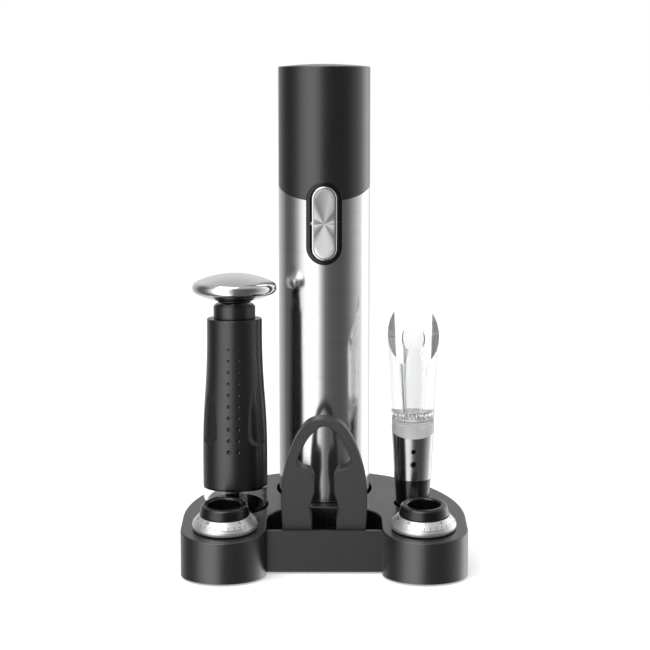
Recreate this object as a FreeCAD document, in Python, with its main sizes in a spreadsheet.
"""Electric wine opener standing in its dock with its accessories, as a parametric FreeCAD document.

The dock carries the opener, a vacuum pump, an aerating pourer, two date-ring stoppers and a foil cutter.
Millimetres. The origin is on the table under the middle of the dock: +X right, +Y back, +Z up.
"""
import FreeCAD, Part
import math
import operator
import os

import Sketcher

Vector = FreeCAD.Vector
X_AXIS = Vector(1, 0, 0)
Y_AXIS = Vector(0, 1, 0)
Z_AXIS = Vector(0, 0, 1)
FULL_TURN = 360.0

DRIVING_DIMENSIONS = {
    # dock
    "stand_width": (150.6, "overall width of the dock"),
    "stand_depth": (116.6, "overall depth of the dock"),
    "lobe_radius": (22.5, "radius of the two round front lobes"),
    "stand_wall": (2.5, "outer wall of the dock"),
    "deck_thickness": (2.5, "thickness of the sloping deck"),
    "deck_height": (33.0, "height of the deck at the opener's axis"),
    "deck_slope": (0.12, "rise of the deck per millimetre towards the back"),
    "deck_edge": (0.8, "rounding of the deck's rim"),
    "rear_rim": (2.8, "dock wall left behind the opener's well"),
    "well_wall": (2.0, "wall of each well"),
    "well_base": (3.0, "floor of the pump's and the pourer's wells"),
    "notch_corner": (18.0, "corner radius of the front notch"),
    "notch_to_well": (6.0, "from the notch's back wall to the opener's well"),
    "front_wall_setback": (25.3, "front wall behind the front of the lobes"),
    "front_wall_top": (23.2, "top of the front wall"),
    "skirt_height": (9.2, "height of the lip at the back of the notch"),
    "skirt_depth": (1.2, "how far the wall under that lip is set back"),
    "foot_height": (1.0, "rubber feet under the dock"),
    "foot_radius": (6.0, "radius of a rubber foot"),
    "cover_thickness": (2.0, "plate that closes the dock's underside"),
    "screw_radius": (1.25, "self-tapping screw shank"),
    "screw_head": (2.6, "self-tapping screw head radius"),
    "screw_length": (9.0, "self-tapping screw length under the head"),
    "boss_radius": (3.5, "screw boss in the dock"),
    "seat_gap": (0.3, "gap between pieces that lift apart"),
    "run_gap": (0.05, "radial gap of a running fit"),
    # opener
    "opener_radius": (25.0, "radius of the opener's body"),
    "opener_length": (253.0, "length of the opener"),
    "opener_clearance": (1.5, "radial gap in the opener's well"),
    "opener_floor": (13.7, "height of the opener's well floor"),
    "sleeve_wall": (0.8, "steel sleeve wall"),
    "housing_wall": (2.3, "upper housing wall"),
    "split_below_top": (64.5, "sleeve's slanting top edge below the opener's top, at the sides"),
    "split_drop": (8.7, "how much lower that edge is at the front"),
    "dome_rise": (1.4, "rise of the housing's domed top"),
    "rim_round": (0.8, "rounded corner of the housing's top"),
    "rocker_below_top": (85.0, "rocker pivot below the opener's top"),
    "bezel_half_width": (9.75, "half width of the rocker's bezel"),
    "bezel_half_height": (22.25, "half height of the rocker's bezel"),
    "bezel_opening_width": (7.4, "half width of the bezel's opening"),
    "bezel_opening_height": (20.5, "half height of the bezel's opening"),
    "rocker_half_width": (6.8, "half width of the rocker"),
    "rocker_half_height": (19.95, "half height of the rocker"),
    "plate_inset": (1.5, "rim of the rocker around its face plate"),
    "neck_bore": (16.5, "radius of the bore that takes a bottle neck"),
    "neck_depth": (38.0, "how far a bottle neck goes in"),
    "cork_bore": (13.2, "radius of the cork chamber"),
    "frame_radius": (22.3, "outside of the inner frame"),
    "frame_wall": (1.5, "inner frame wall"),
    "gearbox_base": (98.0, "underside of the gearbox above the opener's bottom"),
    "tooth_module": (1.0, "module of the gears"),
    "gear_width": (8.0, "face width of the sun and planet gears"),
    "motor_radius": (13.85, "radius of the motor can"),
    "motor_length": (38.0, "length of the motor can"),
    "cell_radius": (9.1, "radius of the lithium cell"),
    "cell_length": (65.0, "length of the lithium cell"),
    "worm_radius": (3.1, "centre line radius of the corkscrew"),
    "worm_wire": (1.6, "wire radius of the corkscrew"),
    "worm_pitch": (9.0, "pitch of the corkscrew"),
    "worm_length": (46.0, "length of the corkscrew's helix"),
    # pump
    "pump_inset": (27.1, "pump axis in from the dock's side"),
    "pump_y": (1.9, "pump axis behind the dock's middle"),
    "pump_length": (149.5, "length of the pump with its knob down"),
    "pump_radius": (17.4, "radius of the pump's grip at its foot"),
    "pump_top_radius": (14.8, "radius of the pump's grip at its top"),
    "pump_clearance": (0.6, "radial gap in the pump's well"),
    "bell_height": (34.2, "clear bell below the grip"),
    "bell_wall": (1.9, "wall of the clear bell"),
    "grip_height": (91.1, "height of the grip"),
    "cylinder_bore": (11.3, "bore of the pump cylinder"),
    "collar_radius": (11.2, "collar on top of the grip"),
    "collar_height": (7.8, "height of the collar above the grip"),
    "pump_rod_radius": (4.0, "radius of the piston rod"),
    "knob_radius": (22.6, "radius of the pump's knob"),
    "knob_height": (15.6, "height of the knob"),
    "knob_edge": (3.6, "radius of the knob's rounded edge"),
    "knob_neck": (9.3, "radius of the insert under the knob"),
    # pourer
    "pourer_inset": (27.3, "pourer axis in from the dock's side"),
    "pourer_y": (3.1, "pourer axis behind the dock's middle"),
    "pourer_bore": (10.2, "radius of the pourer's well"),
    "stopper_height": (37.7, "height of the pourer's rubber stopper"),
    "ring_foot_radius": (10.0, "radius of the pourer's steel ring at its foot"),
    "ring_top_radius": (11.55, "radius of the pourer's steel ring at its top"),
    "ring_height": (26.9, "height of the steel ring at its sides"),
    "ring_drop": (3.7, "how much lower its top edge is at the front"),
    "ring_wall": (0.7, "wall of the steel ring"),
    "spout_foot": (69.7, "foot of the clear spout above the pourer's bottom"),
    "spout_height": (63.7, "height of the spout at its back"),
    "spout_flare": (0.0557, "widening of the spout per millimetre of height"),
    "spout_side": (45.5, "height of the spout's slanting mouth at its sides, above its foot"),
    "spout_slant": (1.17, "rise of the spout's mouth per millimetre towards the back"),
    # stoppers
    "stopper_inset": (0.7, "stopper axis inside the lobe's centre"),
    "stopper_back": (0.8, "stopper axis behind the lobe's centre"),
    "stopper_well": (11.0, "radius of a stopper's well"),
    "stopper_depth": (17.0, "stopper plug below the deck"),
    "date_ring_radius": (17.2, "radius of the date ring"),
    "date_ring_band": (3.0, "height of the date ring's upright band"),
    "date_ring_bevel": (4.2, "height and width of the date ring's bevel"),
    "dome_height": (5.7, "rubber dome above the date ring"),
    "dome_hole": (8.45, "radius of the hollow in the dome"),
    # foil cutter
    "cutter_height": (78.7, "height of the foil cutter"),
    "cutter_width": (45.3, "width of the foil cutter"),
    "cutter_thickness": (14.0, "thickness of the foil cutter"),
    "cutter_behind_wall": (1.5, "foil cutter behind the front wall"),
    "cutter_chamfer": (0.5, "chamfer of the foil cutter's edges"),
    "jaw_radius": (14.5, "radius of the foil cutter's jaws"),
    "wheel_radius": (2.8, "radius of a cutting wheel"),
    "wheel_thickness": (1.0, "thickness of a cutting wheel"),
    "wheel_pin": (0.8, "radius of a cutting wheel's pin"),
}

SUN_TEETH = 9
PLANET_TEETH = 12
RING_TEETH = SUN_TEETH + 2 * PLANET_TEETH
PLANET_COUNT = 3


class Size:
    """A number that remembers the spreadsheet formula it comes from."""

    def __init__(self, value, formula):
        self.value = value
        self.formula = formula

    def combine(self, other, sign, work):
        other = as_size(other)
        return Size(work(self.value, other.value), f"({self.formula} {sign} {other.formula})")

    def __add__(self, other):
        return self.combine(other, "+", operator.add)

    def __sub__(self, other):
        return self.combine(other, "-", operator.sub)

    def __mul__(self, other):
        return self.combine(other, "*", operator.mul)

    def __truediv__(self, other):
        return self.combine(other, "/", operator.truediv)

    def __radd__(self, other):
        return as_size(other) + self

    def __rsub__(self, other):
        return as_size(other) - self

    def __rmul__(self, other):
        return as_size(other) * self

    def __neg__(self):
        return as_size(0) - self

    def root(self):
        """The square root."""
        return Size(math.sqrt(self.value), f"sqrt({self.formula})")

    def slope_angle(self):
        """The angle in degrees whose tangent this is."""
        return Size(math.degrees(math.atan(self.value)), f"atan({self.formula})")


def as_size(number):
    """Turn a plain number into a Size."""
    if isinstance(number, Size):
        return number
    return Size(float(number), f"({float(number)})")


class Dimensions:
    """The spreadsheet's cells, each read as a Size by its alias."""

    def __init__(self, sheet):
        self.sheet = sheet

    def __getattr__(self, alias):
        return Size(float(getattr(self.sheet, alias)), f"Sheet.{alias}")


document = FreeCAD.newDocument("WineOpenerSet")
sheet = document.addObject("Spreadsheet::Sheet", "Sheet")
for row, (alias, (number, meaning)) in enumerate(DRIVING_DIMENSIONS.items(), start=1):
    sheet.set(f"A{row}", meaning)
    sheet.set(f"B{row}", str(number))
    sheet.setAlias(f"B{row}", alias)
document.recompute()
dim = Dimensions(sheet)

nodes = []


# ---------------------------------------------------------------- helpers


def bind(thing, field, size):
    """Bind a property of a document object to a spreadsheet formula."""
    thing.setExpression(field, as_size(size).formula)


def place(thing, x=0, y=0, z=0, axis=None, angle=None):
    """Put an object at x, y, z, turned about an axis when one is given."""
    if axis is not None:
        angle = as_size(angle)
        thing.Placement = FreeCAD.Placement(Vector(), FreeCAD.Rotation(axis, angle.value))
        bind(thing, "Placement.Rotation.Angle", angle)
    for letter, size in zip("xyz", (x, y, z)):
        bind(thing, f"Placement.Base.{letter}", size)
    return thing


def node(name, thing):
    """Give an object the name of its file and list it for export."""
    thing.Label = name
    nodes.append(thing)
    return thing


def origin_plane(body, role):
    """One of a body's own three origin planes."""
    return next(item for item in body.Origin.OriginFeatures if item.Role == role)


def start_point(side):
    """Vertex number of a sketch side's start: arcs drawn clockwise start at their far end."""
    return 2 if side["clockwise"] else 1


def end_point(side):
    """Vertex number of a sketch side's end."""
    return 1 if side["clockwise"] else 2


def draw_outline(sketch, corners, arcs=None):
    """Draw a closed outline whose corners and arc centres are bound to sizes.

    arcs maps the number of the corner that an arc leaves to (centre x, centre y, clockwise).
    """
    arcs = arcs or {}
    corners = [(as_size(x), as_size(y)) for x, y in corners]
    sides = []
    for number, (x, y) in enumerate(corners):
        next_x, next_y = corners[(number + 1) % len(corners)]
        begin = Vector(x.value, y.value, 0)
        finish = Vector(next_x.value, next_y.value, 0)
        side = {"clockwise": False}
        if number in arcs:
            centre_x, centre_y, side["clockwise"] = arcs[number]
            centre = Vector(as_size(centre_x).value, as_size(centre_y).value, 0)
            if side["clockwise"]:
                begin, finish = finish, begin
            circle = Part.Circle(centre, Z_AXIS, (begin - centre).Length)
            first = math.atan2(begin.y - centre.y, begin.x - centre.x)
            last = math.atan2(finish.y - centre.y, finish.x - centre.x)
            if last <= first:
                last += 2 * math.pi
            curve = Part.ArcOfCircle(circle, first, last)
        else:
            curve = Part.LineSegment(begin, finish)
        side["index"] = sketch.addGeometry(curve, False)
        sides.append(side)
    for number, side in enumerate(sides):
        following = sides[(number + 1) % len(sides)]
        sketch.addConstraint(Sketcher.Constraint(
            "Coincident", side["index"], end_point(side), following["index"], start_point(following)))
    for (x, y), side in zip(corners, sides):
        fix_point(sketch, side["index"], start_point(side), "DistanceX", x)
        fix_point(sketch, side["index"], start_point(side), "DistanceY", y)
    for number, (centre_x, centre_y, _) in arcs.items():
        x, y = corners[number]
        next_x, next_y = corners[(number + 1) % len(corners)]
        level = abs(next_x.value - x.value) > abs(next_y.value - y.value)
        kind, size = ("DistanceY", centre_y) if level else ("DistanceX", centre_x)
        fix_point(sketch, sides[number]["index"], 3, kind, as_size(size))


def fix_point(sketch, geometry, vertex, kind, size):
    """Hold one coordinate of a sketch point at a bound distance from the sketch's origin."""
    index = sketch.addConstraint(Sketcher.Constraint(kind, -1, 1, geometry, vertex, size.value))
    sketch.setExpression(f"Constraints[{index}]", size.formula)


def new_sketch(body, role, corners, arcs=None):
    """A sketch on one of the body's origin planes with one closed outline."""
    sketch = body.newObject("Sketcher::SketchObject", f"{body.Name}_outline")
    sketch.AttachmentSupport = (origin_plane(body, role), [""])
    sketch.MapMode = "FlatFace"
    draw_outline(sketch, corners, arcs)
    return sketch


def turned(name, corners, arcs=None, **where):
    """A body turned about its own vertical axis from (radius, height) corners."""
    body = document.addObject("PartDesign::Body", name)
    revolution = body.newObject("PartDesign::Revolution", f"{name}_turned")
    revolution.Profile = new_sketch(body, "XZ_Plane", corners, arcs)
    revolution.ReferenceAxis = (revolution.Profile[0], ["V_Axis"])
    revolution.Angle = FULL_TURN
    return place(body, **where)


def padded(name, corners, length, arcs=None, role="XY_Plane", both_ways=False, **where):
    """A body padded from an outline on one of its origin planes."""
    body = document.addObject("PartDesign::Body", name)
    pad = body.newObject("PartDesign::Pad", f"{name}_pad")
    pad.Profile = new_sketch(body, role, corners, arcs)
    pad.SideType = "Symmetric" if both_ways else "One side"
    bind(pad, "Length", length)
    return place(body, **where)


def rod(name, radius, height, **where):
    """A plain cylinder standing on its base."""
    cylinder = document.addObject("Part::Cylinder", name)
    bind(cylinder, "Radius", radius)
    bind(cylinder, "Height", height)
    return place(cylinder, **where)


def block(name, width, depth, height, x=0, y=0, z=0):
    """A box centred on x, with its front at y and its underside at z."""
    box = document.addObject("Part::Box", name)
    bind(box, "Length", width)
    bind(box, "Width", depth)
    bind(box, "Height", height)
    return place(box, as_size(x) - as_size(width) / 2, y, z)


def cut(name, base, tool):
    """The base with the tool taken away."""
    result = document.addObject("Part::Cut", name)
    result.Base = base
    result.Tool = tool
    return result


def joined(name, *pieces):
    """Several solids as one."""
    result = document.addObject("Part::MultiFuse", name)
    result.Shapes = list(pieces)
    return result


def shared(name, *pieces):
    """The space that several solids share."""
    result = document.addObject("Part::MultiCommon", name)
    result.Shapes = list(pieces)
    return result


def group(name, *pieces):
    """Separate solids of one kind, kept in one node."""
    result = document.addObject("Part::Compound", name)
    result.Links = list(pieces)
    return result


def tube(name, outer, inner, height, **where):
    """A plain tube standing on its base."""
    corners = [(inner, 0), (outer, 0), (outer, height), (inner, height)]
    return turned(name, corners, **where)


def capsule(name, half_width, half_height, depth, y, z, x=0):
    """A prism with round ends, its back at y and its front depth nearer, centred on height z."""
    straight = as_size(half_height) - half_width
    wide = as_size(half_width)
    corners = [(wide, -straight), (wide, straight), (-wide, straight), (-wide, -straight)]
    arcs = {1: (0, straight, False), 3: (0, -straight, False)}
    return padded(name, corners, depth, arcs, role="XZ_Plane", x=x, y=y, z=z)


def soften(body, radius, wanted):
    """Round the edges of a body that the wanted test picks."""
    document.recompute()
    tip = body.Tip
    names = [f"Edge{number}" for number, edge in enumerate(tip.Shape.Edges, start=1) if wanted(edge)]
    fillet = body.newObject("PartDesign::Fillet", f"{body.Name}_rounding")
    fillet.Base = (tip, names)
    bind(fillet, "Radius", radius)
    return body


# ---------------------------------------------------------------- dock

half_width = dim.stand_width / 2
half_depth = dim.stand_depth / 2
opener_bore = dim.opener_radius + dim.opener_clearance
opener_y = half_depth - dim.rear_rim - opener_bore
notch_back = opener_y - opener_bore - dim.notch_to_well
lobe_x = half_width - dim.lobe_radius
lobe_y = dim.lobe_radius - half_depth
back_arc_y = half_depth - half_width
front_wall_y = dim.front_wall_setback - half_depth
notch_floor = dim.foot_height + dim.cover_thickness
tall = dim.deck_height * 3
reach = dim.stand_width


def deck_at(y, lowered=0):
    """Height of the deck at a distance y, or of a plane that lies lower by a given amount."""
    return dim.deck_height + dim.deck_slope * (as_size(y) - opener_y) - lowered


def stand_outline(inset):
    """Corners and arcs of the dock's plan, moved in by an even margin."""
    side = half_width - inset
    notch_side = lobe_x - dim.lobe_radius + inset
    corner_x = lobe_x - dim.lobe_radius - dim.notch_corner
    corner_y = notch_back - dim.notch_corner
    back = notch_back + inset
    corners = [
        (side, back_arc_y), (-side, back_arc_y), (-side, lobe_y), (-notch_side, lobe_y),
        (-notch_side, corner_y), (-corner_x, back), (corner_x, back), (notch_side, corner_y),
        (notch_side, lobe_y), (side, lobe_y),
    ]
    arcs = {
        0: (0, back_arc_y, False), 2: (-lobe_x, lobe_y, False), 4: (-corner_x, corner_y, True),
        6: (corner_x, corner_y, True), 8: (lobe_x, lobe_y, False),
    }
    return corners, arcs


def deck_block(name, inset, foot, lowered):
    """The dock's plan raised from its foot to the sloping deck."""
    corners, arcs = stand_outline(inset)
    body = padded(name, corners, tall, arcs, z=foot)
    above = [(-reach, deck_at(-reach, lowered) - foot), (reach, deck_at(reach, lowered) - foot),
             (reach, tall * 2), (-reach, tall * 2)]
    slope = body.newObject("PartDesign::Pocket", f"{name}_slope")
    slope.Profile = new_sketch(body, "YZ_Plane", above)
    slope.SideType = "Symmetric"
    bind(slope, "Length", reach * 2)
    return body


def on_deck_rim(edge):
    """Whether an edge of the dock's block, which stands on its own foot, lies on the sloping deck."""
    foot = dim.foot_height.value
    ends = [edge.valueAt(edge.FirstParameter), edge.valueAt(edge.LastParameter)]
    middle = edge.valueAt((edge.FirstParameter + edge.LastParameter) / 2)
    return all(abs(point.z + foot - deck_at(point.y).value) < 0.01 for point in ends + [middle])


pump_x = dim.pump_inset - half_width
pourer_x = half_width - dim.pourer_inset
pump_bore = dim.pump_radius + dim.pump_clearance
stopper_x = lobe_x - dim.stopper_inset
stopper_y = lobe_y + dim.stopper_back
well_floor = notch_floor + dim.well_base
deck_angle = dim.deck_slope.slope_angle()
boss_places = [(side * fraction * half_width, y) for side in (-1, 1)
               for fraction, y in ((0.876, dim.lobe_radius * 1.5 - half_depth + 3.5), (0.61, half_depth - 30.3))]
cover_gap = 0.15


def stopper_axis_piece(name, radius, side, below, above):
    """A cylinder square to the deck on a stopper's axis."""
    height = as_size(below) + above
    lean = dim.deck_slope * below
    return rod(name, radius, height, x=side * stopper_x, y=stopper_y + lean,
               z=deck_at(stopper_y) - below, axis=X_AXIS, angle=deck_angle)


def build_stand():
    outer = soften(deck_block("deck_outer", 0, dim.foot_height, 0), dim.deck_edge, on_deck_rim)
    hollow = deck_block("deck_hollow", dim.stand_wall, dim.foot_height, dim.deck_thickness)
    bosses = [rod(f"boss_{number}", dim.boss_radius, tall, x=x, y=y, z=notch_floor)
              for number, (x, y) in enumerate(boss_places)]
    casing = cut("casing", outer, cut("room_inside", hollow, joined("bosses", *bosses)))
    wells = [
        rod("opener_well", opener_bore + dim.well_wall, tall, y=opener_y, z=dim.opener_floor - dim.well_wall),
        rod("pump_well", pump_bore + dim.well_wall, tall, x=pump_x, y=dim.pump_y, z=notch_floor),
        rod("pourer_well", dim.pourer_bore + dim.well_wall, tall, x=pourer_x, y=dim.pourer_y, z=notch_floor),
        *[stopper_axis_piece(f"stopper_well_{number}", dim.stopper_well + dim.well_wall, side,
                             dim.stopper_depth + 2, 20) for number, side in enumerate((-1, 1))]]
    bores = [
        rod("opener_hole", opener_bore, tall, y=opener_y, z=dim.opener_floor),
        rod("pump_hole", pump_bore, tall, x=pump_x, y=dim.pump_y, z=well_floor),
        rod("pourer_hole", dim.pourer_bore, tall, x=pourer_x, y=dim.pourer_y, z=well_floor),
        *[stopper_axis_piece(f"stopper_hole_{number}", dim.stopper_well, side, dim.stopper_depth + 0.5, 20)
          for number, side in enumerate((-1, 1))]]
    cups = [cut(f"well_cup_{number}", shared(f"well_blank_{number}", hollow, well), bore)
            for number, (well, bore) in enumerate(zip(wells, bores))]
    node("stand_wells", group("stand_wells", *cups))
    notch_side = lobe_x - dim.lobe_radius
    corner_x = notch_side - dim.notch_corner
    corner_y = notch_back - dim.notch_corner
    tray_corners = [(-notch_side, front_wall_y), (notch_side, front_wall_y), (notch_side, corner_y),
                    (corner_x, notch_back), (-corner_x, notch_back), (-notch_side, corner_y)]
    tray_arcs = {2: (corner_x, corner_y, False), 4: (-corner_x, corner_y, False)}
    posts = [block(f"cutter_post_{side}", 2, dim.cutter_thickness, 9, x=side * (dim.cutter_width / 2 + 2),
                   y=front_wall_y + dim.stand_wall + dim.cutter_behind_wall, z=notch_floor)
             for side in (-1, 1)]
    front_wall = block("front_wall", notch_side * 2, dim.stand_wall, dim.front_wall_top - dim.foot_height,
                       y=front_wall_y, z=dim.foot_height)
    tray_floor = padded("tray_floor", tray_corners, dim.cover_thickness, tray_arcs, z=dim.foot_height)
    node("stand_tray", joined("stand_tray", tray_floor, front_wall, *posts))

    recess = block("skirt_recess", corner_x * 2, dim.skirt_depth * 2,
                   deck_at(notch_back) - dim.skirt_height - notch_floor,
                   y=notch_back - dim.skirt_depth, z=notch_floor)
    boss_bores = [rod(f"boss_bore_{number}", dim.screw_radius, dim.screw_length, x=x, y=y, z=notch_floor)
                  for number, (x, y) in enumerate(boss_places)]
    node("stand_shell", cut("stand_shell", casing, joined("shell_cuts", *bores, recess, *boss_bores)))


def build_stand_underside():
    corners, arcs = stand_outline(dim.stand_wall + cover_gap)
    plate = padded("cover_plate", corners, dim.cover_thickness, arcs, z=dim.foot_height)
    head_depth = dim.cover_thickness / 2
    sinks = [joined(f"sink_{number}",
                    rod(f"sink_head_{number}", dim.screw_head + 0.1, head_depth, x=x, y=y, z=dim.foot_height),
                    rod(f"sink_shank_{number}", dim.screw_radius + 0.1, dim.cover_thickness, x=x, y=y,
                        z=dim.foot_height))
             for number, (x, y) in enumerate(boss_places)]
    node("stand_bottom_cover", cut("stand_bottom_cover", plate, joined("sinks", *sinks)))
    screws = []
    for number, (x, y) in enumerate(boss_places):
        head = head_depth
        shank = dim.screw_radius
        tip = head + dim.screw_length
        profile = [(0, 0), (dim.screw_head, 0), (dim.screw_head, head), (shank, head),
                   (shank, tip - 1.5), (0.3, tip), (0, tip)]
        screws.append(turned(f"screw_{number}", profile, x=x, y=y, z=dim.foot_height))
    node("stand_screws", group("stand_screws", *screws))
    feet_places = [(side * lobe_x, lobe_y - 2) for side in (-1, 1)]
    feet_places += [(side * half_width * 0.43, half_depth - 20.3) for side in (-1, 1)]
    feet = []
    for number, (x, y) in enumerate(feet_places):
        edge = 0.3
        profile = [(0, 0), (dim.foot_radius - edge, 0), (dim.foot_radius, edge),
                   (dim.foot_radius, dim.foot_height), (0, dim.foot_height)]
        feet.append(turned(f"foot_{number}", profile, x=x, y=y))
    node("stand_feet", group("stand_feet", *feet))


# ---------------------------------------------------------------- opener body

opener_z = dim.opener_floor + dim.seat_gap
split_height = dim.opener_length - dim.split_below_top
rocker_height = dim.opener_length - dim.rocker_below_top
inner_radius = dim.frame_radius - dim.frame_wall
gear_bottom = dim.gearbox_base + 6
cover_base = dim.gearbox_base + 19.5
motor_base = cover_base + 2.5
cell_base = motor_base + dim.motor_length + 5
board_front = dim.motor_radius + 2.75
board_back = dim.motor_radius + 1.15
holder_top = cell_base + dim.cell_length + 2
pin_depth = dim.opener_radius - 2.1
frame_base = 16.0


def at_opener(x=0, y=0, z=0):
    """A place given from the middle of the opener's underside."""
    return {"x": as_size(x), "y": opener_y + y, "z": opener_z + z}


def split_wedge(name, above):
    """The space above or below the slanting joint between sleeve and housing."""
    far = dim.opener_radius * 1.2
    rise = dim.split_drop * 1.2
    limit = dim.opener_length * 2 if above else as_size(-10)
    corners = [(-far, split_height - rise), (far, split_height + rise), (far, limit), (-far, limit)]
    return padded(name, corners, far * 2, role="YZ_Plane", both_ways=True, **at_opener())


def bezel_room(name, grow):
    """The capsule-shaped way through the opener's front for the rocker's bezel."""
    return capsule(name, dim.bezel_half_width - 0.6 + grow, dim.bezel_half_height - 0.6 + grow, 15,
                   y=opener_y - 15, z=opener_z + rocker_height)


def build_opener_shells():
    radius = dim.opener_radius
    bore = radius - dim.sleeve_wall
    pipe = tube("sleeve_pipe", radius, bore, dim.opener_length, **at_opener())
    sleeve = shared("sleeve_slanted", pipe, split_wedge("below_split", False))
    node("steel_sleeve", cut("steel_sleeve", sleeve, bezel_room("sleeve_window", 0.05)))

    inner = radius - dim.housing_wall
    top = dim.opener_length
    rim = top - dim.dome_rise
    round_x = radius - dim.rim_round
    low = split_height - dim.split_drop * 1.3
    ceiling = top - dim.dome_rise - dim.housing_wall
    corners = [(inner, low), (radius, low), (radius, rim - dim.rim_round), (round_x, rim), (0, top),
               (0, ceiling), (inner, ceiling)]
    arcs = {2: (round_x, rim - dim.rim_round, False)}
    cup = shared("housing_cup", turned("housing_body", corners, arcs, **at_opener()),
                 split_wedge("above_split", True))
    skirt = tube("housing_skirt", bore - 0.1, inner, dim.split_drop * 3,
                 **at_opener(z=split_height - dim.split_drop * 2.4))
    port = usb_prism("port_window", 0.2, 12)
    node("upper_housing", cut("upper_housing", joined("housing_and_skirt", cup, skirt),
                              joined("housing_windows", bezel_room("housing_window", 0.05), port)))


def usb_prism(name, grow, depth):
    """A USB-C shaped prism that runs out through the back of the opener."""
    half_w = as_size(4.5) + grow
    half_h = as_size(1.6) + grow
    straight = half_w - half_h
    corners = [(straight, -half_h), (straight, half_h), (-straight, half_h), (-straight, -half_h)]
    arcs = {0: (straight, 0, False), 2: (-straight, 0, False)}
    return padded(name, corners, depth, arcs, role="XZ_Plane",
                  **at_opener(y=dim.opener_radius - 8.2 + depth, z=holder_top + 6.2))


def build_bezel_and_rocker():
    flange = shared(
        "bezel_flange",
        capsule("bezel_outline", dim.bezel_half_width, dim.bezel_half_height, 15, y=opener_y - 15,
                z=opener_z + rocker_height),
        tube("bezel_skin", dim.opener_radius + 0.6, dim.opener_radius + 0.03, dim.opener_length, **at_opener()))
    collar = shared(
        "bezel_collar",
        capsule("bezel_body", dim.bezel_half_width - 0.6, dim.bezel_half_height - 0.6, 6,
                y=opener_y - dim.opener_radius + 4.4, z=opener_z + rocker_height),
        rod("bezel_limit", dim.opener_radius + 0.3, dim.opener_length, **at_opener()))
    opening = capsule("bezel_opening", dim.bezel_opening_width, dim.bezel_opening_height, 20,
                      y=opener_y - 12, z=opener_z + rocker_height)
    pin_length = dim.bezel_opening_width * 2 + 2.4
    pin_place = {"x": -pin_length / 2, "y": opener_y - pin_depth, "z": opener_z + rocker_height}
    pin_hole = rod("bezel_pin_hole", 0.7 + dim.run_gap, pin_length + 0.6, x=-pin_length / 2 - 0.3,
                   y=pin_place["y"], z=pin_place["z"], axis=Y_AXIS, angle=90)
    node("button_frame", cut("button_frame", joined("bezel_whole", flange, collar),
                             joined("bezel_cuts", opening, pin_hole)))

    pin = rod("rocker_pin", 0.7, pin_length, axis=Y_AXIS, angle=90, **pin_place)
    node("rocker_pin", pin)
    face = dim.opener_radius + 1.0
    button = capsule("rocker_block", dim.rocker_half_width, dim.rocker_half_height, 3.8,
                     y=opener_y - face + 3.8, z=opener_z + rocker_height)
    soften(button, 0.9, lambda edge: abs(edge.BoundBox.YMax + 3.8) < 0.01 and edge.BoundBox.YLength < 0.01)
    lug = block("rocker_lug", 12, 1.2, 4, y=opener_y - face + 3.7, z=opener_z + rocker_height - 2)
    pushers = [rod(f"pusher_{side}", 1.5, 0.8, y=opener_y - face + 4.5, z=opener_z + rocker_height + side * 13,
                   axis=X_AXIS, angle=90) for side in (-1, 1)]
    plate_wide = dim.rocker_half_width - dim.plate_inset
    plate_tall = dim.rocker_half_height - dim.plate_inset
    recess = capsule("plate_recess", plate_wide + 0.1, plate_tall + 0.1, 3, y=opener_y - face + 0.5,
                     z=opener_z + rocker_height)
    rocker_bore = rod("rocker_bore", 0.7, pin_length, axis=Y_AXIS, angle=90, **pin_place)
    node("rocker_button", cut("rocker_button", joined("rocker_solid", button, lug, *pushers),
                              joined("rocker_cuts", recess, rocker_bore)))
    node("rocker_faceplate", capsule("rocker_faceplate", plate_wide, plate_tall, 0.7,
                                     y=opener_y - face + 0.5, z=opener_z + rocker_height))


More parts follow.
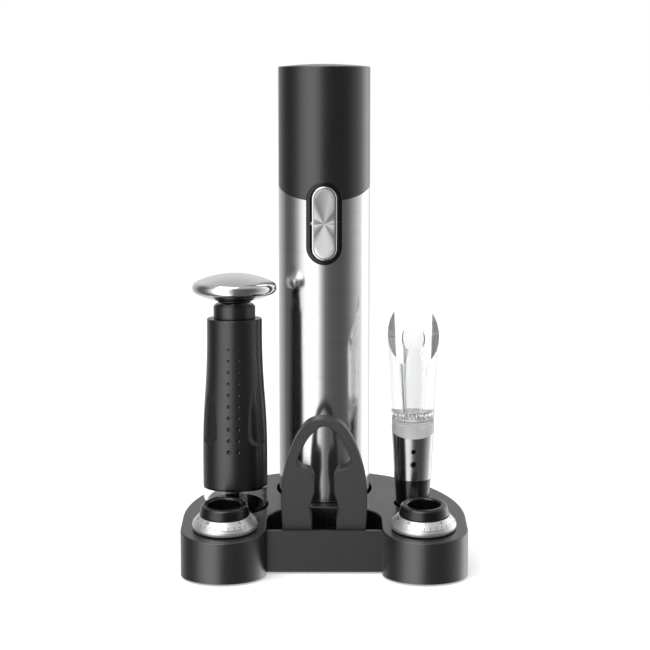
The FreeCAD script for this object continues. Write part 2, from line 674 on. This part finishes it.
def build_opener_insides():
    bore = dim.opener_radius - dim.sleeve_wall
    guide_top = as_size(frame_base)
    lead_in = 2.5
    profile = [(dim.neck_bore + lead_in, 0.5), (bore - 0.1, 0.5), (bore - 0.1, guide_top),
               (dim.neck_bore, guide_top), (dim.neck_bore, 0.5 + lead_in)]
    node("neck_guide", turned("neck_guide", profile, **at_opener()))

    flange = guide_top + 2
    wall = dim.neck_bore + 1.5
    stop = dim.neck_depth
    profile = [(dim.neck_bore, guide_top), (bore - 0.1, guide_top), (bore - 0.1, flange), (wall, flange),
               (wall, dim.gearbox_base), (dim.cork_bore, dim.gearbox_base), (dim.cork_bore, stop),
               (dim.neck_bore, stop)]
    node("cork_tube", turned("cork_tube", profile, **at_opener()))

    frame_tube = tube("frame_tube", dim.frame_radius, inner_radius, holder_top + 10 - flange,
                      **at_opener(z=flange))
    window = block("frame_window", dim.bezel_half_width * 2 + 0.4, 12, dim.bezel_half_height * 2 + 1,
                   y=opener_y - 26, z=opener_z + rocker_height - dim.bezel_half_height - 0.5)
    node("inner_frame", cut("inner_frame", frame_tube, joined(
        "frame_windows", window, usb_prism("frame_port", 0.3, 14))))

    disc = inner_radius - 0.1
    motor_hole = as_size(3.6)
    screws = []
    cover_sinks = []
    screw_ring = disc - 1.3
    for number in range(PLANET_COUNT):
        angle = math.radians(60 + number * FULL_TURN / PLANET_COUNT)
        x = screw_ring * math.cos(angle)
        y = screw_ring * math.sin(angle)
        head = cover_base + 2.5
        cover_sinks.append(rod(f"cover_hole_{number}", 0.8, 12, **at_opener(x, y, cover_base - 6)))
        profile = [(0, -8.0), (0.8, -8.0), (0.8, 0), (1.25, 0), (1.25, 0.9), (0, 0.9)]
        screws.append(turned(f"gearbox_screw_{number}", profile, **at_opener(x, y, head)))
    node("gearbox_screws", group("gearbox_screws", *screws))
    cover = tube("cover_disc", disc, motor_hole, 2.5, **at_opener(z=cover_base))
    node("gearbox_cover", cut("gearbox_cover", cover, joined("cover_holes", *cover_sinks)))

    shaft_bore = 1.15 + dim.run_gap
    boss = 1.5
    profile = [(shaft_bore, -boss), (3.5, -boss), (3.5, 0), (dim.motor_radius, 0),
               (dim.motor_radius, dim.motor_length), (4.5, dim.motor_length), (4.5, dim.motor_length + 1.5),
               (0, dim.motor_length + 1.5), (0, 15), (shaft_bore, 15)]
    node("motor", turned("motor", profile, **at_opener(z=motor_base)))

    cell_top = dim.cell_length
    profile = [(0, 0), (dim.cell_radius, 0), (dim.cell_radius, cell_top - 1.2), (3, cell_top - 1.2),
               (3, cell_top), (0, cell_top)]
    node("battery_cell", turned("battery_cell", profile, **at_opener(z=cell_base)))
    end_plate = 1.6
    cradle = tube("cradle_shell", dim.cell_radius + 1.5, dim.cell_radius + 0.1, cell_top + end_plate,
                  **at_opener(z=cell_base - end_plate))
    front = block("cradle_open_front", 50, 26, dim.opener_length, y=opener_y - 28, z=opener_z)
    shell = cut("cradle_half", cradle, front)
    plates = [rod(f"cradle_plate_{number}", disc, end_plate, **at_opener(z=height))
              for number, height in enumerate((cell_base - end_plate, cell_base + cell_top))]
    board_way = block("cradle_board_way", 42, 12, dim.opener_length,
                      y=opener_y - board_back - 11.8, z=opener_z)
    node("battery_holder", cut("battery_holder", joined("cradle_whole", shell, *plates), board_way))

    board_height = as_size(72)
    board_base = rocker_height - 25
    node("control_board", block("control_board", 20, 1.6, board_height, y=opener_y - board_front,
                                z=opener_z + board_base))
    switches = []
    for side in (-1, 1):
        body = block(f"switch_body_{side}", 6, 3.2, 6, y=opener_y - board_front - 3.2,
                     z=opener_z + rocker_height + side * 13 - 3)
        plunger = rod(f"switch_plunger_{side}", 1.6, 0.4, y=opener_y - board_front - 3.2,
                      z=opener_z + rocker_height + side * 13, axis=X_AXIS, angle=90)
        switches.append(joined(f"switch_{side}", body, plunger))
    node("tact_switches", group("tact_switches", *switches))

    board_z = holder_top + 3
    top_board = rod("top_board_disc", inner_radius - 0.2, 1.6, **at_opener(z=board_z))
    node("charge_board", cut("charge_board", top_board, block(
        "charge_board_notch", 24, 8, 6, y=opener_y - board_back - 7.6, z=opener_z + board_z - 2)))
    shell_outer = usb_prism("usb_outer", 0, 7.3)
    shell_inner = place(usb_prism("usb_inner", -0.35, 6.5),
                        **at_opener(y=dim.opener_radius - 0.7, z=holder_top + 6.2))
    node("usb_socket", cut("usb_socket", shell_outer, shell_inner))


# ---------------------------------------------------------------- gear train and corkscrew

PITCH_ADDENDUM = 0.8
PITCH_DEDENDUM = 1.15
ROOT_HALF_TOOTH = 0.75
TIP_HALF_TOOTH = 0.28


def gear_face(teeth, module, root, tip, turn):
    """A flat gear outline with straight-flanked teeth, root and tip given as radii."""
    points = []
    for tooth in range(teeth):
        middle = turn + tooth * 2 * math.pi / teeth
        for radius, half in ((root, -ROOT_HALF_TOOTH), (tip, -TIP_HALF_TOOTH),
                             (tip, TIP_HALF_TOOTH), (root, ROOT_HALF_TOOTH)):
            angle = middle + half * module / radius
            points.append(Vector(radius * math.cos(angle), radius * math.sin(angle), 0))
    return Part.Face(Part.makePolygon(points + points[:1]))


def shape_feature(name, shape, x=0, y=0, z=0):
    """A feature whose shape was made in code, placed afterwards."""
    feature = document.addObject("Part::Feature", name)
    feature.Shape = shape
    return place(feature, x, y, z)


def build_gear_train():
    module = dim.tooth_module.value
    width = dim.gear_width.value
    sun_pitch = module * SUN_TEETH / 2
    planet_pitch = module * PLANET_TEETH / 2
    ring_pitch = module * RING_TEETH / 2
    orbit = dim.tooth_module * ((SUN_TEETH + PLANET_TEETH) / 2)
    rise = Vector(0, 0, width)

    sun = gear_face(SUN_TEETH, module, sun_pitch - PITCH_DEDENDUM * module,
                    sun_pitch + PITCH_ADDENDUM * module, 0).extrude(rise)
    sun = sun.cut(Part.makeCylinder(1.15, width))
    node("sun_gear", shape_feature("sun_gear", sun, **at_opener(z=gear_bottom)))
    node("motor_shaft", rod("motor_shaft", 1.15, motor_base + 14 - gear_bottom, **at_opener(z=gear_bottom)))

    pin = 1.5
    bore = Part.makeCylinder(pin + dim.run_gap.value, width)
    half_tooth = math.pi / PLANET_TEETH
    pins = []
    for number in range(PLANET_COUNT):
        angle = number * 2 * math.pi / PLANET_COUNT
        planet = gear_face(PLANET_TEETH, module, planet_pitch - PITCH_DEDENDUM * module,
                           planet_pitch + PITCH_ADDENDUM * module, angle + half_tooth)
        planet = planet.extrude(rise).cut(bore)
        x = orbit * math.cos(angle)
        y = orbit * math.sin(angle)
        node(f"planet_gear_{number + 1}",
             shape_feature(f"planet_gear_{number + 1}", planet, **at_opener(x, y, gear_bottom)))
        pins.append(rod(f"carrier_pin_{number}", pin, dim.gear_width + 3,
                        **at_opener(x, y, gear_bottom - 2)))

    casing = Part.makeCylinder(inner_radius.value - 0.1, (cover_base - dim.gearbox_base).value)
    room = Part.makeCylinder(ring_pitch + (PITCH_DEDENDUM + 0.35) * module, 30, Vector(0, 0, 3))
    toothed = Part.makeCylinder(ring_pitch + (PITCH_DEDENDUM + 0.4) * module, width, Vector(0, 0, 5.5))
    gaps = gear_face(RING_TEETH, module, ring_pitch - 0.7 * module, ring_pitch + PITCH_DEDENDUM * module,
                     math.pi / RING_TEETH).extrude(rise)
    gaps.translate(Vector(0, 0, 5.5))
    bush_hole = Part.makeCylinder(6.6, 10)
    housing = casing.cut(room).fuse(toothed.cut(gaps)).cut(bush_hole)
    screw_ring = inner_radius.value - 1.4
    for number in range(PLANET_COUNT):
        angle = math.radians(60 + number * FULL_TURN / PLANET_COUNT)
        place_of_hole = Vector(screw_ring * math.cos(angle), screw_ring * math.sin(angle), 13.9)
        housing = housing.cut(Part.makeCylinder(0.8, 20, place_of_hole))
    node("gearbox_housing", shape_feature("gearbox_housing", housing.removeSplitter(),
                                          **at_opener(z=dim.gearbox_base)))

    shaft = 5.0
    profile = [(shaft + dim.run_gap, -1), (6.6, -1), (6.6, 3.15), (shaft + dim.run_gap, 3.15)]
    node("output_bush", turned("output_bush", profile, **at_opener(z=dim.gearbox_base)))
    plate = 3.5
    profile = [(0, -8), (shaft, -8), (shaft, plate), (14.6, plate), (14.6, plate + 2), (0, plate + 2)]
    carrier = turned("carrier_plate", profile, **at_opener(z=dim.gearbox_base))
    node("planet_carrier", joined("planet_carrier", carrier, *pins))


def build_corkscrew():
    hub_bottom = dim.gearbox_base - 16
    worm_bottom = hub_bottom + 2 - dim.worm_length
    helix = document.addObject("Part::Helix", "worm_helix")
    bind(helix, "Pitch", dim.worm_pitch)
    bind(helix, "Height", dim.worm_length)
    bind(helix, "Radius", dim.worm_radius)
    place(helix, **at_opener(z=worm_bottom))
    section = document.addObject("Part::Circle", "worm_section")
    bind(section, "Radius", dim.worm_wire)
    place(section, axis=X_AXIS, angle=90, **at_opener(x=dim.worm_radius, z=worm_bottom))
    worm = document.addObject("Part::Sweep", "corkscrew_worm")
    worm.Sections = [section]
    worm.Spine = (helix, [])
    worm.Solid = True
    worm.Frenet = True
    node("corkscrew_worm", worm)
    hub = turned("hub_body", [(0, 0), (6.2, 0), (7.0, 1), (7.0, 8), (0, 8)], **at_opener(z=hub_bottom))
    node("worm_hub", cut("worm_hub", hub, worm))


# ---------------------------------------------------------------- vacuum pump

pump_z = well_floor + dim.seat_gap
grip_top = dim.bell_height + dim.grip_height
cylinder_bottom = dim.bell_height
collar_top = grip_top + dim.collar_height


def at_pump(z=0):
    """A height on the pump's axis, above its bottom."""
    return {"x": pump_x, "y": dim.pump_y, "z": pump_z + z}


def build_pump_body():
    outer = dim.pump_radius - 0.1
    inner = outer - dim.bell_wall
    cylinder_wall = dim.cylinder_bore + 1.3
    ceiling = cylinder_bottom - 3
    cylinder_top = grip_top - 4.5
    profile = [(inner, 0), (outer, 0), (outer, cylinder_bottom), (cylinder_wall, cylinder_bottom),
               (cylinder_wall, cylinder_top), (dim.cylinder_bore, cylinder_top),
               (dim.cylinder_bore, cylinder_bottom), (2.2, cylinder_bottom), (2.2, ceiling), (inner, ceiling)]
    node("pump_barrel", turned("pump_barrel", profile, **at_pump()))
    profile = [(0, ceiling - 1), (3.6, ceiling - 1), (3.6, ceiling), (2.1, ceiling), (2.1, cylinder_bottom),
               (5.2, cylinder_bottom), (5.2, cylinder_bottom + 1.2), (0, cylinder_bottom + 1.2)]
    node("pump_valve", turned("pump_valve", profile, **at_pump()))

    foot = dim.pump_radius
    head = dim.pump_top_radius
    taper_start = cylinder_bottom + 17
    taper_end = grip_top - 8
    half_rise = (taper_end - taper_start) / 2
    half_step = (foot - head) / 2
    taper_radius = (half_rise * half_rise + half_step * half_step) / (half_step * 2)
    middle = taper_start + half_rise
    grip_bore = cylinder_wall + 0.1
    edge = 0.7
    corners = [
        (grip_bore, cylinder_bottom + 0.1), (foot, cylinder_bottom + 0.1), (foot, taper_start),
        (foot - half_step, middle), (head, taper_end), (head, grip_top - edge), (head - edge, grip_top),
        (dim.collar_radius - 0.8, grip_top), (dim.collar_radius - 0.8, grip_top - 2.5),
        (grip_bore, grip_top - 2.5),
    ]
    arcs = {2: (foot - taper_radius, taper_start, False), 3: (head + taper_radius, taper_end, True),
            5: (head - edge, grip_top - edge, False)}
    node("pump_grip", turned("pump_grip", corners, arcs, **at_pump()))

    rod_bore = dim.pump_rod_radius + 0.08
    spigot = dim.collar_radius - 0.9
    step = 0.9
    profile = [(rod_bore, grip_top - 7.3), (spigot, grip_top - 7.3), (spigot, grip_top),
               (dim.collar_radius, grip_top), (dim.collar_radius, collar_top - step),
               (dim.collar_radius - step, collar_top - step), (dim.collar_radius - step, collar_top),
               (rod_bore, collar_top)]
    node("pump_collar", turned("pump_collar", profile, **at_pump()))


def build_pump_rod():
    knob_middle = dim.pump_length - dim.knob_height / 2
    half_height = dim.knob_height / 2
    edge = dim.knob_edge
    edge_x = dim.knob_radius - edge
    dome = (edge_x * edge_x + half_height * half_height - edge * edge) / ((half_height - edge) * 2)
    reach_out = dome - edge
    tangent_x = edge_x * dome / reach_out
    tangent_z = (dome - half_height) * edge / reach_out
    neck = dim.knob_neck
    under = (dome * dome - neck * neck).root() - dome + half_height
    insert_foot = collar_top + 0.5
    socket = knob_middle - half_height + 4
    corners = [
        (neck, socket), (neck, knob_middle - under), (tangent_x, knob_middle - tangent_z),
        (tangent_x, knob_middle + tangent_z), (0, dim.pump_length), (0, socket),
    ]
    arcs = {1: (0, knob_middle - half_height + dome, False), 2: (edge_x, knob_middle, False),
            3: (0, knob_middle + half_height - dome, False)}
    node("pump_knob", turned("pump_knob", corners, arcs, **at_pump()))
    shaft = dim.pump_rod_radius
    profile = [(shaft, insert_foot), (neck - 0.6, insert_foot), (neck, insert_foot + 0.6), (neck, socket),
               (shaft, socket)]
    node("knob_insert", turned("knob_insert", profile, **at_pump()))
    piston_bottom = cylinder_bottom + 3.3
    piston_top = piston_bottom + 9.5
    node("pump_rod", rod("pump_rod", shaft, socket - piston_top, **at_pump(piston_top)))
    crown = dim.cylinder_bore - 0.5
    groove = dim.cylinder_bore - 2.7
    groove_low = piston_bottom + 3
    groove_high = groove_low + 3.5
    profile = [(0, piston_bottom), (crown, piston_bottom), (crown, groove_low), (groove, groove_low),
               (groove, groove_high), (crown, groove_high), (crown, piston_top), (0, piston_top)]
    node("pump_piston", turned("pump_piston", profile, **at_pump()))
    node("piston_seal", tube("piston_seal", dim.cylinder_bore - 0.08, groove, 3.3,
                             **at_pump(groove_low + 0.1)))


# ---------------------------------------------------------------- aerating pourer

ring_top = dim.stopper_height + dim.ring_height


def at_pourer(z=0, y=0):
    """A height on the pourer's axis, above its bottom."""
    return {"x": pourer_x, "y": dim.pourer_y + y, "z": well_floor + dim.seat_gap + z}


def slanted_space(name, height, slope, above, **where):
    """All the space above or below a plane that rises towards the back through a height on the axis."""
    far = as_size(30)
    limit = as_size(300) if above else as_size(-50)
    corners = [(-far, height - slope * far), (far, height + slope * far), (far, limit), (-far, limit)]
    return padded(name, corners, 80, role="YZ_Plane", both_ways=True, **where)


def build_pourer():
    flow = 3.6
    foot = dim.ring_foot_radius
    top = dim.stopper_height
    rib = 0.9
    corners = [(flow, 0), (foot - 2.9, 0), (foot - 2.5, 1)]
    for height in (4, 10, 16):
        body_radius = foot - 2.5 + 0.06 * height
        corners += [(body_radius, height - 1), (body_radius + rib, height), (body_radius, height + 1)]
    corners += [(foot - 1.3, 20), (foot - 0.15, top), (flow, top)]
    node("pourer_stopper", turned("pourer_stopper", corners, **at_pourer()))

    slope = dim.ring_drop / dim.ring_top_radius
    flare = (dim.ring_top_radius - foot) / dim.ring_height
    tall_ring = dim.ring_height + dim.ring_drop * 2
    tall_radius = foot + flare * tall_ring
    wall = dim.ring_wall
    profile = [(foot - wall, top), (foot, top), (tall_radius, top + tall_ring),
               (tall_radius - wall, top + tall_ring)]
    cone = turned("ring_cone", profile, **at_pourer())
    below = slanted_space("below_ring_edge", ring_top, slope, False, **at_pourer())
    vents = [rod(f"air_hole_{number}", radius, 14, axis=X_AXIS, angle=90, **at_pourer(top + height))
             for number, (radius, height) in enumerate(((1.35, 16.2), (1.8, 9.1)))]
    node("pourer_ring", cut("pourer_ring", shared("ring_slanted", cone, below), joined("air_holes", *vents)))

    core_top = top + 22
    core_gap = wall + 0.05
    profile = [(flow, top), (foot - core_gap, top), (foot - core_gap + flare * 22, core_top),
               (5.5, core_top), (flow, core_top - 6)]
    core_vents = [rod(f"core_vent_{number}", 1.0, 14, axis=X_AXIS, angle=90, **at_pourer(top + height))
                  for number, height in enumerate((16.2, 9.1))]
    node("aerator_core", cut("aerator_core", turned("core_body", profile, **at_pourer()),
                             joined("core_vents", *core_vents)))

    neck_radius = dim.ring_top_radius + 0.05
    spigot = dim.ring_top_radius - wall - 0.1
    neck = shared("neck_slanted",
                  tube("neck_outside", neck_radius, 5.5, dim.spout_foot - core_top, **at_pourer(core_top)),
                  slanted_space("above_ring_edge", ring_top + 0.05, slope, True, **at_pourer()))
    inner = tube("neck_spigot", spigot - flare * 6, 5.5, dim.spout_foot - core_top - 0.1,
                 **at_pourer(core_top + 0.1))
    node("pourer_neck", joined("pourer_neck", neck, inner))

    spout_bottom = dim.spout_foot
    straight = 11.1
    rim = dim.spout_height + 1
    lip = neck_radius + 0.3 + dim.spout_flare * (rim - straight)
    corners = [(4.2, spout_bottom), (neck_radius, spout_bottom), (neck_radius + 0.3, spout_bottom + straight),
               (lip, spout_bottom + rim), (7.4, spout_bottom + rim)]
    mouth = slanted_space("below_mouth", spout_bottom + dim.spout_side, dim.spout_slant, False, **at_pourer())
    cap = rod("below_apex", 30, dim.spout_height, **at_pourer(spout_bottom))
    node("pourer_spout", shared("pourer_spout", turned("spout_body", corners, **at_pourer()), mouth, cap))


# ---------------------------------------------------------------- stoppers


def build_stoppers():
    gap = dim.seat_gap
    band_foot = 0.5
    band_top = band_foot + dim.date_ring_band
    ring_top_z = band_top + dim.date_ring_bevel
    collar = dim.date_ring_radius - dim.date_ring_bevel
    ring_bore = collar - 0.2
    neck = ring_bore - gap
    flange = ring_bore + 2.4
    dome_foot = ring_top_z + gap
    dome_top = ring_top_z + dim.dome_height
    round_r = 2.2
    shoulder = collar + 0.1
    rim_outer = dim.dome_hole + 2.2
    hollow_floor = 5.0
    for side, word in ((-1, "left"), (1, "right")):
        where = {"x": side * stopper_x, "y": stopper_y, "z": deck_at(stopper_y), "axis": X_AXIS,
                 "angle": deck_angle}
        deep = -dim.stopper_depth
        corners = [(3.0, deep), (8.0, deep), (8.6, deep + 1.5)]
        for height in (-12.0, -6.0):
            corners += [(8.6, height - 1.2), (9.7, height), (8.6, height + 1.2)]
        corners += [
            (8.6, gap), (flange, gap), (flange, gap + 1.3), (neck, gap + 1.3), (neck, dome_foot),
            (dim.dome_hole, dome_foot), (dim.dome_hole, hollow_floor), (1.6, hollow_floor), (1.6, -3),
            (3.0, -3),
        ]
        plug = turned(f"stopper_shank_{word}", corners, **where)

        dome = [(dim.dome_hole, dome_foot), (shoulder, dome_foot), (shoulder - 0.6, dome_top - round_r),
                (rim_outer, dome_top), (dim.dome_hole + 1, dome_top), (dim.dome_hole, dome_top - 1)]
        arcs = {2: (shoulder - 0.6 - round_r, dome_top - round_r, False),
                4: (dim.dome_hole + 1, dome_top - 1, False)}
        lip = turned(f"stopper_lip_{word}", dome, arcs, **where)
        node(f"stopper_plug_{word}", group(f"stopper_plug_{word}", plug, lip))

        radius = dim.date_ring_radius
        edge = 0.4
        profile = [(flange + gap, band_foot), (radius - edge, band_foot), (radius, band_foot + edge),
                   (radius, band_top), (collar + 0.2, ring_top_z), (ring_bore, ring_top_z),
                   (ring_bore, gap + 1.3 + gap), (flange + gap, gap + 1.3 + gap)]
        node(f"date_ring_{word}", turned(f"date_ring_{word}", profile, **where))

        profile = [(0, -5), (2.6, -5), (2.6, -3), (1.5, -3), (1.5, hollow_floor), (4.2, hollow_floor),
                   (4.2, hollow_floor + 1.2), (1.7, hollow_floor + 1.2), (1.2, hollow_floor + 4.6),
                   (0, hollow_floor + 4.6)]
        node(f"stopper_valve_{word}", turned(f"stopper_valve_{word}", profile, **where))


# ---------------------------------------------------------------- foil cutter

# Right-hand outlines as shares of half the width and of the height, from the foot upwards.
CUTTER_OUTSIDE = ((0.86, 0.0), (0.955, 0.18), (1.0, 0.40), (0.955, 0.62), (0.86, 0.72), (0.60, 0.895),
                  (0.31, 0.983), (0.0, 1.0))
CUTTER_INSIDE = ((0.278, 0.20), (0.280, 0.27), (0.290, 0.325), (0.333, 0.375), (0.300, 0.432), (0.232, 0.490),
                 (0.222, 0.560), (0.245, 0.615), (0.345, 0.652), (0.520, 0.668), (0.615, 0.692), (0.612, 0.728),
                 (0.545, 0.775), (0.440, 0.836), (0.260, 0.905), (0.0, 0.949))
WHEEL_ANGLES = (12, 45, 135, 168)

cutter_front = front_wall_y + dim.stand_wall + dim.cutter_behind_wall
cutter_middle = cutter_front + dim.cutter_thickness / 2
cutter_z = notch_floor + dim.seat_gap
jaw_height = 3.7
wheel_orbit = dim.jaw_radius + dim.wheel_radius * 0.8
pin_length = 10


def arch_curve(shares):
    """A smooth arch through outline points given for its right-hand half."""
    half = dim.cutter_width.value / 2
    height = dim.cutter_height.value
    right = [Vector(x * half, 0, z * height) for x, z in shares]
    left = [Vector(-point.x, 0, point.z) for point in reversed(right[:-1])]
    curve = Part.BSplineCurve()
    curve.interpolate(right + left)
    return curve.toShape(), right[0], left[-1]


def build_foil_cutter():
    outer, outer_right, outer_left = arch_curve(CUTTER_OUTSIDE)
    inner, inner_right, inner_left = arch_curve(CUTTER_INSIDE)
    low_right = Vector(inner_right.x, 0, 0)
    low_left = Vector(inner_left.x, 0, 0)
    wire = Part.Wire([
        outer, Part.makeLine(outer_left, low_left), Part.makeLine(low_left, inner_left), inner,
        Part.makeLine(inner_right, low_right), Part.makeLine(low_right, outer_right)])
    thickness = dim.cutter_thickness.value
    plate = Part.Face(wire).extrude(Vector(0, thickness, 0))
    jaw = Part.makeCylinder(dim.jaw_radius.value, thickness * 2, Vector(0, -thickness / 2, jaw_height), Y_AXIS)
    plate = plate.cut(jaw)
    for angle in WHEEL_ANGLES:
        spot = Vector(wheel_orbit.value * math.cos(math.radians(angle)), thickness / 2,
                      jaw_height + wheel_orbit.value * math.sin(math.radians(angle)))
        slot = Part.makeCylinder((dim.wheel_radius + 0.4).value, (dim.wheel_thickness + 0.6).value,
                                 spot - Y_AXIS * (dim.wheel_thickness + 0.6).value / 2, Y_AXIS)
        hole = Part.makeCylinder(dim.wheel_pin.value, pin_length, spot - Y_AXIS * pin_length / 2, Y_AXIS)
        plate = plate.cut(slot).cut(hole)
    faces_out = [edge for edge in plate.Edges
                 if edge.BoundBox.YLength < 0.001 and edge.Length > 60
                 and min(edge.BoundBox.YMin, thickness - edge.BoundBox.YMin) < 0.001]
    plate = plate.makeChamfer(dim.cutter_chamfer.value, faces_out)
    node("cutter_frame", shape_feature("cutter_frame", plate, 0, cutter_front, cutter_z))

    pins = []
    for number, angle in enumerate(WHEEL_ANGLES, start=1):
        x = wheel_orbit * math.cos(math.radians(angle))
        z = cutter_z + jaw_height + wheel_orbit * math.sin(math.radians(angle))
        turned_flat = {"x": x, "z": z, "axis": X_AXIS, "angle": 90}
        radius = dim.wheel_radius
        half = dim.wheel_thickness / 2
        bore = dim.wheel_pin + dim.run_gap
        profile = [(bore, -half), (radius - 1, -half), (radius, 0), (radius - 1, half), (bore, half)]
        node(f"cutter_wheel_{number}", turned(f"cutter_wheel_{number}", profile, y=cutter_middle, **turned_flat))
        pins.append(rod(f"wheel_pin_{number}", dim.wheel_pin, pin_length, y=cutter_middle + pin_length / 2,
                        **turned_flat))
    node("cutter_pins", group("cutter_pins", *pins))


# ---------------------------------------------------------------- build, check and write


def check_document():
    """Stop if any feature failed or any sub-part's shape is missing or invalid."""
    for thing in document.Objects:
        if "Invalid" in thing.State or "Error" in thing.State:
            raise RuntimeError(f"{thing.Name} ({thing.Label}) failed: {thing.State}")
    for thing in nodes:
        if thing.Shape.isNull() or not thing.Shape.isValid() or not thing.Shape.Solids:
            raise RuntimeError(f"{thing.Label} has no valid solid")


build_stand()
build_stand_underside()
build_opener_shells()
build_bezel_and_rocker()
build_opener_insides()
build_gear_train()
build_corkscrew()
build_pump_body()
build_pump_rod()
build_pourer()
build_stoppers()
build_foil_cutter()
document.recompute()
check_document()
os.makedirs("parts", exist_ok=True)
for thing in nodes:
    thing.Shape.exportStep(f"parts/{thing.Label}.step")
print(f"{len(nodes)} nodes written")
